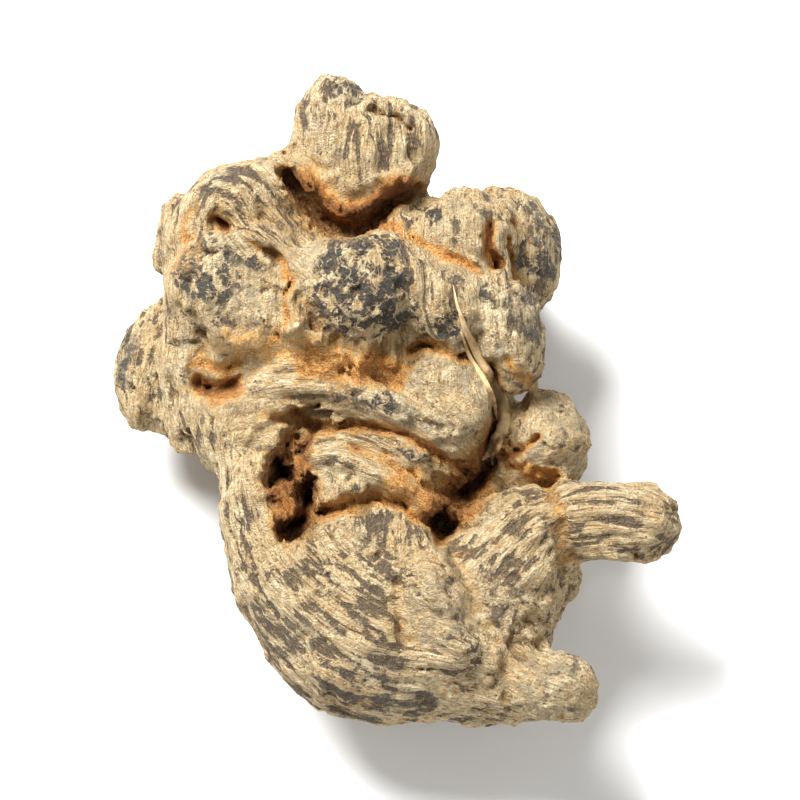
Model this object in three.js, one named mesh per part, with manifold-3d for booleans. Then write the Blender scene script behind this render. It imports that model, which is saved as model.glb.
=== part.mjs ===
// A dried notoginseng root, in millimetres, lying on its back with +Z up.
//
// The root is one grown piece: a lumpy crown with the stump of the stem on top, a body folded into
// arches, and a thick tail that curls round to two blunt side roots. It is described in its own axes,
// with x across it, y from the tail to the crown and z out of its face, and is then laid down on three
// swellings of its back. Every swelling is a soft body, and all of them melt into one closed skin.
import * as THREE from "three";
import { triTable } from "three/addons/objects/MarchingCubes.js";
import Module from "manifold-3d";

const wasm = await Module();
wasm.setup();

// Driving dimensions.
const SKIN_STEP = 1.5; // the size of a facet of the skin
const FACE_ELEVATION_DEG = 72; // how far the face is turned up from the horizon as the root lies
const REST_FLAT = 0.5; // how much the resting swellings are pressed flat
const SOFT = 1.6; // the usual softness of the fold where two swellings meet
const ROLL = 0.22; // how far the skin wanders in and out of its plain swellings
const ROLL_WAVE = 7.5; // the length of that wandering

// Swellings: centre, half sizes, turn about x, y and z in degrees, and softness.
const SWELLINGS = {
  stem_stump: { at: [-3.2, 23.0, -1.2], half: [6.0, 4.7, 5.2], turn: [0, 0, -8] },
  stump_bud_left: { at: [-6.4, 26.7, -0.6], half: [3.0, 3.5, 3.2] },
  stump_bud_right: { at: [-0.6, 24.8, -0.6], half: [2.9, 2.8, 3.0] },
  stump_corner: { at: [1.2, 22.4, -1.2], half: [2.1, 3.0, 3.2] },
  neck: { at: [-4.5, 17.5, -3.5], half: [5.4, 6.0, 5.0] },
  shoulder_bridge: { at: [-11.0, 20.0, -2.0], half: [4.0, 3.0, 3.6], turn: [0, 0, 28] },
  crown_core: { at: [-4.0, 9.6, -5.0], half: [15.0, 10.4, 10.8] },
  shoulder_left: { at: [-15.2, 17.6, 1.6], half: [6.3, 3.9, 4.4], turn: [0, 0, 30] },
  shoulder_edge: { at: [-20.2, 15.4, -1.2], half: [1.9, 4.2, 3.4], turn: [0, 0, -26] },
  knob_left: { at: [-15.6, 10.3, 4.2], half: [5.2, 4.6, 4.0], turn: [0, 0, 8] },
  knob_left_flap: { at: [-13.4, 7.4, 5.0], half: [3.6, 2.6, 2.6] },
  left_wall: { at: [-19.0, 6.6, -1.5], half: [3.0, 7.0, 5.6] },
  left_back_lobe: { at: [-22.4, 3.2, -6.0], half: [3.7, 6.2, 4.6], turn: [0, 0, -18] },
  left_drip: { at: [-19.4, -0.6, -2.6], half: [2.6, 4.4, 3.8], turn: [0, 0, 10] },
  left_waist: { at: [-15.6, -0.6, -1.0], half: [4.4, 6.2, 6.4] },
  knob_front: { at: [-3.7, 10.4, 6.0], half: [6.3, 5.0, 4.6], turn: [0, 0, 18] },
  knob_front_side: { at: [4.0, 8.6, 5.0], half: [3.7, 3.5, 3.6] },
  knob_right: { at: [9.3, 6.3, 2.8], half: [3.8, 5.8, 4.4], turn: [0, 0, 14] },
  shoulder_right: { at: [6.0, 14.8, 0.2], half: [5.0, 4.4, 4.6] },
  shoulder_right_back: { at: [10.7, 13.9, -4.6], half: [4.2, 5.8, 5.0], turn: [0, 0, 14] },
  body_core: { at: [-1.0, -3.0, -3.6], half: [12.6, 9.4, 9.4] },
  cheek: { at: [3.8, -0.2, 3.4], half: [5.2, 5.6, 4.6] },
  tongue: { at: [-3.4, -6.0, 3.6], half: [6.0, 5.4, 4.4] },
  side_knob: { at: [13.5, -3.9, -0.4], half: [4.0, 4.5, 4.6] },
  tail_ridge: { at: [2.6, -18.6, 7.0], half: [3.6, 6.4, 4.4], turn: [0, 0, 14] },
  waist: { at: [-6.0, 3.6, 0.6], half: [11.0, 4.6, 5.6] },
  right_waist: { at: [8.6, -8.0, -3.4], half: [6.4, 7.4, 5.8] },
  tail_top: { at: [-2.6, -12.6, 3.6], half: [8.6, 4.8, 5.6] },
  under_knob: { at: [-17.0, 3.2, 1.0], half: [3.6, 3.8, 3.4] },
  left_flank: { at: [-10.8, -7.4, -2.6], half: [4.4, 6.8, 5.6] },
  back_left: { at: [-11.6, 7.6, -13.0], half: [6.6, 5.8, 5.6], turn: [0, 0, 24], soft: 3 },
  back_right: { at: [6.6, 11.2, -14.2], half: [5.6, 5.4, 6.0], turn: [0, 0, -16], soft: 3 },
  back_middle: { at: [-2.4, 3.4, -11.2], half: [6.0, 5.4, 4.2], soft: 3 },
  back_crown: { at: [-4.4, 16.4, -9.6], half: [5.8, 4.6, 4.8], soft: 3 },
  back_low: { at: [4.4, -5.2, -9.0], half: [5.0, 5.6, 4.4], soft: 3 },
  back_tail: { at: [-4.6, -15.0, -4.4], half: [8.6, 7.6, 6.8], soft: 3 },
};

// Limbs: a smooth path with a radius at each of its points.
const LIMBS = {
  brow: {
    path: [[-13.6, 0.7, 3.6], [-9.4, 1.3, 5.6], [-5.0, 0.7, 6.6], [-0.6, -0.9, 6.8]],
    radius: [2.2, 2.1, 2.0, 1.3],
    soft: 1.4,
  },
  tail: {
    path: [
      [-12.6, 0.4, 2.4],
      [-13.3, -5.0, 3.0],
      [-12.0, -11.4, 3.0],
      [-8.2, -16.6, 2.8],
      [-2.2, -20.6, 2.8],
      [4.0, -21.9, 3.4],
      [8.6, -23.6, 4.4],
    ],
    radius: [3.0, 2.9, 4.2, 7.0, 8.8, 7.4, 5.0],
  },
  side_root_low: {
    path: [[6.0, -25.0, 4.8], [10.4, -25.9, 6.2], [14.4, -26.0, 7.4]],
    radius: [3.8, 3.4, 3.3],
  },
  side_root_high: {
    path: [
      [7.0, -19.0, 2.8],
      [10.4, -14.8, 3.4],
      [13.4, -11.6, 4.4],
      [18.2, -11.0, 5.6],
      [21.9, -11.3, 6.2],
    ],
    radius: [7.0, 5.9, 4.2, 3.5, 3.4],
  },
};

// Clefts: the same, taken away. They reach deep times their radius along z.
const CLEFTS = {
  under_stump: {
    path: [[-10.2, 20.2, 3.4], [-7.6, 17.0, 4.2], [-4.9, 15.8, 4.6], [-2.0, 17.2, 4.2], [1.2, 19.4, 3.4]],
    radius: [0.7, 1.1, 1.5, 1.1, 0.6],
    deep: 3.6,
  },
  torn_hole: {
    path: [[-9.4, -4.4, 6.4], [-10.6, -7.4, 6.2], [-9.2, -9.4, 6.4], [-9.9, -11.8, 6.6]],
    radius: [1.5, 2.1, 2.0, 1.5],
    deep: 2.2,
  },
  throat: {
    path: [[8.6, -4.0, 6.0], [6.4, -7.6, 6.4], [4.0, -10.4, 7.4]],
    radius: [1.5, 1.8, 1.4],
    deep: 2.6,
  },
};

const RADIANS = Math.PI / 180;
const PATH_PIECES = 6; // straight pieces between two points of a path

// A smooth path and its radius as a list of short straight pieces.
function piecesOf({ path, radius }) {
  const curve = new THREE.CatmullRomCurve3(path.map((p) => new THREE.Vector3(...p)));
  const spans = path.length - 1;
  const count = spans * PATH_PIECES;
  const stops = [];
  for (let i = 0; i <= count; i++) {
    const along = (i / count) * spans;
    const span = Math.min(Math.floor(along), spans - 1);
    const width = THREE.MathUtils.lerp(radius[span], radius[span + 1], along - span);
    stops.push({ point: curve.getPoint(i / count), width });
  }
  return stops.slice(1).map((stop, i) => ({ from: stops[i], to: stop }));
}

// Distance from a point to a limb's skin, negative inside. Depth along z is divided by deep.
function limbField(limb) {
  const pieces = piecesOf(limb);
  const deep = limb.deep ?? 1;
  const line = new THREE.Vector3();
  const offset = new THREE.Vector3();
  return (point) => {
    let nearest = Infinity;
    for (const { from, to } of pieces) {
      line.subVectors(to.point, from.point);
      offset.subVectors(point, from.point);
      const share = THREE.MathUtils.clamp(offset.dot(line) / line.lengthSq(), 0, 1);
      offset.addScaledVector(line, -share);
      offset.z /= deep;
      const width = THREE.MathUtils.lerp(from.width, to.width, share);
      nearest = Math.min(nearest, offset.length() - width);
    }
    return nearest;
  };
}

// Distance from a point to a swelling's skin, near enough for melting swellings together.
function swellingField({ at, half, turn = [0, 0, 0] }) {
  const centre = new THREE.Vector3(...at);
  const size = new THREE.Vector3(...half);
  const unturn = new THREE.Quaternion()
    .setFromEuler(new THREE.Euler(...turn.map((angle) => angle * RADIANS)))
    .invert();
  const scaled = new THREE.Vector3();
  return (point) => {
    scaled.subVectors(point, centre).applyQuaternion(unturn).divide(size);
    const reach = scaled.length();
    return (reach * (reach - 1)) / Math.max(scaled.divide(size).length(), 1e-6);
  };
}

// The smaller of two distances, rounded over a width where they are close.
function softMin(a, b, width) {
  const overlap = Math.max(width - Math.abs(a - b), 0) / width;
  return Math.min(a, b) - (overlap * overlap * width) / 4;
}

// A slow in-and-out wander that keeps the swellings from looking turned on a lathe.
function roll({ x, y, z }) {
  const turn = (2 * Math.PI) / ROLL_WAVE;
  const first = Math.sin(turn * (x + 0.35 * y) + 1.3 * Math.sin(0.6 * turn * z));
  const second = Math.sin(turn * (y - 0.3 * z) + 1.1 * Math.sin(0.7 * turn * x) + 2.0);
  const third = Math.sin(turn * (z + 0.4 * x) + 0.9 * Math.sin(0.5 * turn * y) + 4.1);
  return (ROLL * (first + second + third)) / 1.5;
}

const solids = [
  ...Object.values(SWELLINGS).map((s) => ({ field: swellingField(s), soft: s.soft ?? SOFT })),
  ...Object.values(LIMBS).map((l) => ({ field: limbField(l), soft: l.soft ?? SOFT })),
];
const clefts = Object.values(CLEFTS).map(limbField);
const CLEFT_SOFT = 0.6;

// Distance from a point in the root's own axes to its skin, negative inside.
function rootField(point) {
  let distance = Infinity;
  for (const { field, soft } of solids) {
    const next = field(point);
    distance = distance === Infinity ? next : softMin(distance, next, soft);
  }
  distance += roll(point);
  for (const cleft of clefts) distance = -softMin(-distance, cleft(point), CLEFT_SOFT);
  return distance;
}

// The corners of a cell and the two corners that each of its edges joins, in triTable's order.
const CELL_CORNERS = [
  [0, 0, 0], [1, 0, 0], [1, 1, 0], [0, 1, 0],
  [0, 0, 1], [1, 0, 1], [1, 1, 1], [0, 1, 1],
];
const CELL_EDGES = [
  [0, 1], [1, 2], [2, 3], [3, 0], [4, 5], [5, 6], [6, 7], [7, 4], [0, 4], [1, 5], [2, 6], [3, 7],
];
const EDGE_MARGIN = 0.12; // the nearest that a skin point comes to a cell's corner, as a share of an edge

// The closed skin where the field is zero inside a box, as an indexed geometry.
function skinOf(field, box, step) {
  const size = box.getSize(new THREE.Vector3());
  const counts = size.toArray().map((length) => Math.ceil(length / step) + 1);
  const [nx, ny, nz] = counts;
  const place = (i, j, k) => new THREE.Vector3(i, j, k).multiplyScalar(step).add(box.min);
  const indexOf = (i, j, k) => i + nx * (j + ny * k);
  const values = new Float64Array(nx * ny * nz);
  for (let k = 0; k < nz; k++)
    for (let j = 0; j < ny; j++)
      for (let i = 0; i < nx; i++) values[indexOf(i, j, k)] = field(place(i, j, k));

  const positions = [];
  const triangles = [];
  const made = new Map();
  // The skin's point on the grid edge between two grid points, made once and shared.
  function edgePoint(a, b) {
    const [low, high] = a.index < b.index ? [a, b] : [b, a];
    const key = low.index * values.length + high.index;
    if (!made.has(key)) {
      const share = values[low.index] / (values[low.index] - values[high.index]);
      const kept = THREE.MathUtils.clamp(share, EDGE_MARGIN, 1 - EDGE_MARGIN);
      positions.push(...place(...low.cell).lerp(place(...high.cell), kept).toArray());
      made.set(key, positions.length / 3 - 1);
    }
    return made.get(key);
  }
  for (let k = 0; k < nz - 1; k++)
    for (let j = 0; j < ny - 1; j++)
      for (let i = 0; i < nx - 1; i++) {
        const corners = CELL_CORNERS.map(([x, y, z]) => {
          const cell = [i + x, j + y, k + z];
          return { cell, index: indexOf(...cell) };
        });
        const outside = corners.reduce((bits, c, n) => bits | ((values[c.index] > 0) << n), 0);
        for (let n = 16 * outside; triTable[n] !== -1; n++) {
          const [a, b] = CELL_EDGES[triTable[n]];
          triangles.push(edgePoint(corners[a], corners[b]));
        }
      }
  const geometry = new THREE.BufferGeometry();
  geometry.setAttribute("position", new THREE.Float32BufferAttribute(positions, 3));
  geometry.setIndex(triangles);
  return geometry;
}

function solidOf(geometry) {
  return new wasm.Manifold(
    new wasm.Mesh({
      numProp: 3,
      vertProperties: new Float32Array(geometry.attributes.position.array),
      triVerts: new Uint32Array(geometry.index.array),
    }),
  );
}

function geometryOf(solid) {
  const { vertProperties, triVerts } = solid.getMesh();
  const geometry = new THREE.BufferGeometry();
  geometry.setAttribute("position", new THREE.BufferAttribute(vertProperties, 3));
  geometry.setIndex(new THREE.BufferAttribute(triVerts, 1));
  return geometry;
}

// A plain box without the normals and uvs that keep its corners apart.
function bareBox(width, depth, height) {
  const box = new THREE.BoxGeometry(width, depth, height);
  const corners = box.attributes.position;
  const keys = new Map();
  const positions = [];
  const indices = Array.from(box.index.array, (n) => {
    const corner = [corners.getX(n), corners.getY(n), corners.getZ(n)];
    const key = corner.join();
    if (!keys.has(key)) {
      keys.set(key, positions.length / 3);
      positions.push(...corner);
    }
    return keys.get(key);
  });
  const geometry = new THREE.BufferGeometry();
  geometry.setAttribute("position", new THREE.Float32BufferAttribute(positions, 3));
  geometry.setIndex(indices);
  return geometry;
}

// The root laid down on its back: its face looks up at the stated elevation, its lowest swellings are
// pressed flat at z = 0, and its box is centred on the origin.
function layDown(geometry) {
  geometry.rotateX((90 - FACE_ELEVATION_DEG) * RADIANS);
  geometry.computeBoundingBox();
  const { min, max } = geometry.boundingBox;
  geometry.translate(-(min.x + max.x) / 2, -(min.y + max.y) / 2, -min.z - REST_FLAT);
  const under = bareBox(4 * max.x, 4 * max.y, 4 * REST_FLAT);
  under.translate(0, 0, -2 * REST_FLAT);
  return geometryOf(solidOf(geometry).subtract(solidOf(under)));
}

const OWN_BOX = new THREE.Box3(new THREE.Vector3(-30, -34, -24), new THREE.Vector3(30, 34, 18));
const skin = skinOf(rootField, OWN_BOX, SKIN_STEP);
const bark = new THREE.MeshStandardMaterial({ color: 0xb39b74, roughness: 0.85, metalness: 0 });
const root = new THREE.Mesh(layDown(skin), bark);
root.name = "root";

const part = new THREE.Group();
part.add(root);
export default part;
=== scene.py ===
"""The looks of a dried notoginseng root: its fine skin, its bark and the light it is seen in.

The root is described in its own axes, in millimetres: x across it, y from the tail to the crown and z out
of its face. Its swellings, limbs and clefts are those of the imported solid. Folds, furrows, scars and
wrinkles are drawn over them, and the whole is polygonised as one closed skin and laid over the solid.
"""
import math

import bpy
import numpy as np
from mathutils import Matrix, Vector


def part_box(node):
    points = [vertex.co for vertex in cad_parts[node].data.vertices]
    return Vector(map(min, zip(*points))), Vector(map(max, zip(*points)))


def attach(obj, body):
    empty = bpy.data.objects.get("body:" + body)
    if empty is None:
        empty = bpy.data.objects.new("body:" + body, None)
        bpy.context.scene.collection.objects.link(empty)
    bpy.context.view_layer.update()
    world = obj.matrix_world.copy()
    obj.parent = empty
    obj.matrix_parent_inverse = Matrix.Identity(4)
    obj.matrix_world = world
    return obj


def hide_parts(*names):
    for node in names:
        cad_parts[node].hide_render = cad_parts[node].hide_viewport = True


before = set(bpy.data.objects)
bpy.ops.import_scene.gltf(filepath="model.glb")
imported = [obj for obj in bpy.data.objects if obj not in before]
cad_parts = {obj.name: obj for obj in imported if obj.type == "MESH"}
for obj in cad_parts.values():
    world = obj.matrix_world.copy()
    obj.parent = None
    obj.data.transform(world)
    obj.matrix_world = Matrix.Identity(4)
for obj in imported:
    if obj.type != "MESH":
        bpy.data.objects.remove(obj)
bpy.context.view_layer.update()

MM = 0.001
FACE_ELEVATION_DEG = 72  # how far the face is turned up from the horizon as the root lies
SOFT = 1.6  # the usual softness of the fold where two swellings meet
CLEFT_SOFT = 0.6
ROLL = 0.22  # how far the skin wanders in and out of its plain swellings
ROLL_WAVE = 7.5  # the length of that wandering
SKIN_STEP = 0.26  # the size of the cells that the skin is cut from
SKIN_FACES = 196_000  # the triangles that the skin keeps

# ---------------------------------------------------------------------------------------------------
# The form: centre, half sizes, turn in degrees and softness of each swelling.

SWELLINGS = {
    "stem_stump": dict(at=(-3.2, 23.0, -1.2), half=(6.0, 4.7, 5.2), turn=-8),
    "stump_bud_left": dict(at=(-6.4, 26.7, -0.6), half=(3.0, 3.5, 3.2)),
    "stump_bud_right": dict(at=(-0.6, 24.8, -0.6), half=(2.9, 2.8, 3.0)),
    "stump_corner": dict(at=(1.2, 22.4, -1.2), half=(2.1, 3.0, 3.2)),
    "neck": dict(at=(-4.5, 17.5, -3.5), half=(5.4, 6.0, 5.0)),
    "shoulder_bridge": dict(at=(-11.0, 20.0, -2.0), half=(4.0, 3.0, 3.6), turn=28),
    "crown_core": dict(at=(-4.0, 9.6, -5.0), half=(15.0, 10.4, 10.8)),
    "shoulder_left": dict(at=(-15.2, 17.6, 1.6), half=(6.3, 3.9, 4.4), turn=30),
    "shoulder_edge": dict(at=(-20.2, 15.4, -1.2), half=(1.9, 4.2, 3.4), turn=-26),
    "knob_left": dict(at=(-15.6, 10.3, 4.2), half=(5.2, 4.6, 4.0), turn=8),
    "knob_left_flap": dict(at=(-13.4, 7.4, 5.0), half=(3.6, 2.6, 2.6)),
    "left_wall": dict(at=(-19.0, 6.6, -1.5), half=(3.0, 7.0, 5.6)),
    "left_back_lobe": dict(at=(-22.4, 3.2, -6.0), half=(3.7, 6.2, 4.6), turn=-18),
    "left_drip": dict(at=(-19.4, -0.6, -2.6), half=(2.6, 4.4, 3.8), turn=10),
    "left_waist": dict(at=(-15.6, -0.6, -1.0), half=(4.4, 6.2, 6.4)),
    "knob_front": dict(at=(-3.7, 10.4, 6.0), half=(6.3, 5.0, 4.6), turn=18),
    "knob_front_side": dict(at=(4.0, 8.6, 5.0), half=(3.7, 3.5, 3.6)),
    "knob_right": dict(at=(9.3, 6.3, 2.8), half=(3.8, 5.8, 4.4), turn=14),
    "shoulder_right": dict(at=(6.0, 14.8, 0.2), half=(5.0, 4.4, 4.6)),
    "shoulder_right_back": dict(at=(10.7, 13.9, -4.6), half=(4.2, 5.8, 5.0), turn=14),
    "body_core": dict(at=(-1.0, -3.0, -3.6), half=(12.6, 9.4, 9.4)),
    "cheek": dict(at=(3.8, -0.2, 3.4), half=(5.2, 5.6, 4.6)),
    "tongue": dict(at=(-3.4, -6.0, 3.6), half=(6.0, 5.4, 4.4)),
    "side_knob": dict(at=(13.5, -3.9, -0.4), half=(4.0, 4.5, 4.6)),
    "tail_ridge": dict(at=(2.6, -18.6, 7.0), half=(3.6, 6.4, 4.4), turn=14),
    "waist": dict(at=(-6.0, 3.6, 0.6), half=(11.0, 4.6, 5.6)),
    "right_waist": dict(at=(8.6, -8.0, -3.4), half=(6.4, 7.4, 5.8)),
    "tail_top": dict(at=(-2.6, -12.6, 3.6), half=(8.6, 4.8, 5.6)),
    "under_knob": dict(at=(-17.0, 3.2, 1.0), half=(3.6, 3.8, 3.4)),
    "left_flank": dict(at=(-10.8, -7.4, -2.6), half=(4.4, 6.8, 5.6)),
    "back_left": dict(at=(-11.6, 7.6, -13.0), half=(6.6, 5.8, 5.6), turn=24, soft=3),
    "back_right": dict(at=(6.6, 11.2, -14.2), half=(5.6, 5.4, 6.0), turn=-16, soft=3),
    "back_middle": dict(at=(-2.4, 3.4, -11.2), half=(6.0, 5.4, 4.2), soft=3),
    "back_crown": dict(at=(-4.4, 16.4, -9.6), half=(5.8, 4.6, 4.8), soft=3),
    "back_low": dict(at=(4.4, -5.2, -9.0), half=(5.0, 5.6, 4.4), soft=3),
    "back_tail": dict(at=(-4.6, -15.0, -4.4), half=(8.6, 7.6, 6.8), soft=3),
}

# Limbs: a smooth path with a radius at each of its points.
LIMBS = {
    "brow": dict(
        path=[(-13.6, 0.7, 3.6), (-9.4, 1.3, 5.6), (-5.0, 0.7, 6.6), (-0.6, -0.9, 6.8)],
        radius=[2.2, 2.1, 2.0, 1.3],
        soft=1.4,
    ),
    "tail": dict(
        path=[
            (-12.6, 0.4, 2.4),
            (-13.3, -5.0, 3.0),
            (-12.0, -11.4, 3.0),
            (-8.2, -16.6, 2.8),
            (-2.2, -20.6, 2.8),
            (4.0, -21.9, 3.4),
            (8.6, -23.6, 4.4),
        ],
        radius=[3.0, 2.9, 4.2, 7.0, 8.8, 7.4, 5.0],
    ),
    "side_root_low": dict(
        path=[(6.0, -25.0, 4.8), (10.4, -25.9, 6.2), (14.4, -26.0, 7.4)],
        radius=[3.8, 3.4, 3.3],
    ),
    "side_root_high": dict(
        path=[
            (7.0, -19.0, 2.8),
            (10.4, -14.8, 3.4),
            (13.4, -11.6, 4.4),
            (18.2, -11.0, 5.6),
            (21.9, -11.3, 6.2),
        ],
        radius=[7.0, 5.9, 4.2, 3.5, 3.4],
    ),
}

# Clefts: the same, taken away. They reach deep times their radius along z.
CLEFTS = {
    "under_stump": dict(
        path=[(-10.2, 20.2, 3.4), (-7.6, 17.0, 4.2), (-4.9, 15.8, 4.6), (-2.0, 17.2, 4.2),
              (1.2, 19.4, 3.4)],
        radius=[0.7, 1.1, 1.5, 1.1, 0.6],
        deep=3.6,
    ),
    "torn_hole": dict(
        path=[(-9.4, -4.4, 6.4), (-10.6, -7.4, 6.2), (-9.2, -9.4, 6.4), (-9.9, -11.8, 6.6)],
        radius=[1.5, 2.1, 2.0, 1.5],
        deep=2.2,
    ),
    "throat": dict(
        path=[(8.6, -4.0, 6.0), (6.4, -7.6, 6.4), (4.0, -10.4, 7.4)],
        radius=[1.5, 1.8, 1.4],
        deep=2.6,
    ),
}

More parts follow.
